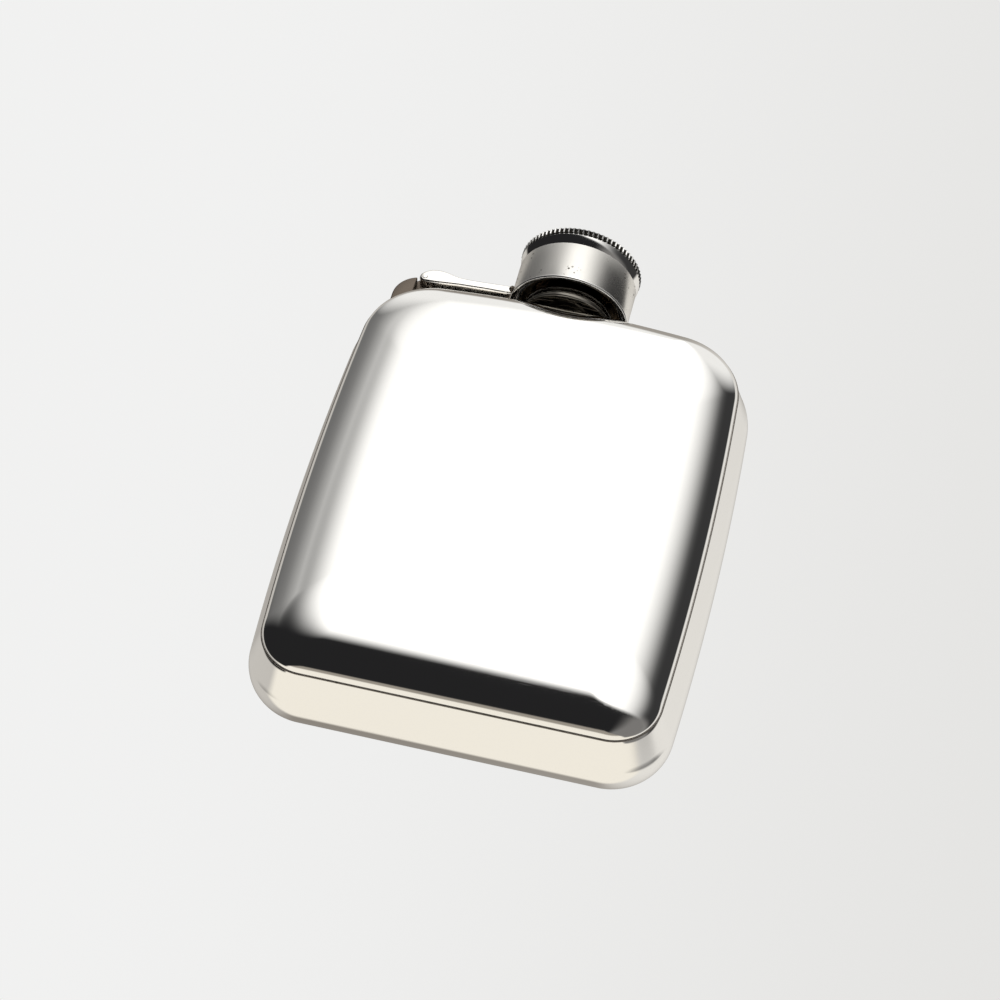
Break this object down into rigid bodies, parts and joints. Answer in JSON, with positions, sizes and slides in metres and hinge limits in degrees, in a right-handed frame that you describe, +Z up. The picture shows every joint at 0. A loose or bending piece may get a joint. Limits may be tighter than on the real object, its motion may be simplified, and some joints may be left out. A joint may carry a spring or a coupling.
{
  "type": "hip flask",
  "caption": "Slim rounded pocket flask of two soldered polished shells, with a hinged band on one shoulder that carries a quarter-turn milled knob over a short neck.",
  "frame": {"origin": "on the flat of the base, on the axis of the neck", "axes": "+Z up along the neck's axis to the cap, -Y to the domed front panel, +Y to the flat back, -X to the hinge"},
  "size_m": [0.0926, 0.0278, 0.1292],
  "materials": {
    "polished_plate": "mirror polished silver plate with fine hairlines",
    "solder": "dull grey soft solder",
    "pin_brass": "worn",
    "inner_brass": "turned, unplated",
    "spring_steel": "bright",
    "seal_rubber": "matt"
  },
  "bodies": {
    "flask_body": {"front_panel": "polished_plate", "back_shell": "polished_plate", "seam_solder": "solder", "neck_tube": "polished_plate", "neck_collar": "polished_plate", "neck_solder": "solder", "bayonet_lugs": "polished_plate", "hinge_bracket": "polished_plate", "bracket_solder": "solder"},
    "lid": {"hinge_arm": "polished_plate", "hinge_pin": "pin_brass", "arm_solder": "solder", "outer_band": "polished_plate", "band_bead": "polished_plate"},
    "cap_knob": {"knob_skirt": "polished_plate", "milled_crown": "polished_plate", "inner_cup": "inner_brass", "retaining_ring": "spring_steel", "bayonet_ring": "inner_brass", "seal_disc": "seal_rubber", "seal_plate": "inner_brass", "spring_washer": "spring_steel", "centre_rivet": "inner_brass"}
  },
  "joints": [
    {"name": "lid_swing", "type": "hinge", "parent": "flask_body", "child": "lid", "pos_m": [-0.0332, 0, 0.1139], "axis": [0, -1, 0], "range_deg": [0, 105]},
    {"name": "knob_turn", "type": "hinge", "parent": "lid", "child": "cap_knob", "pos_m": [0, 0, 0.12], "axis": [0, 0, 1], "range_deg": [-90, 0]}
  ]
}
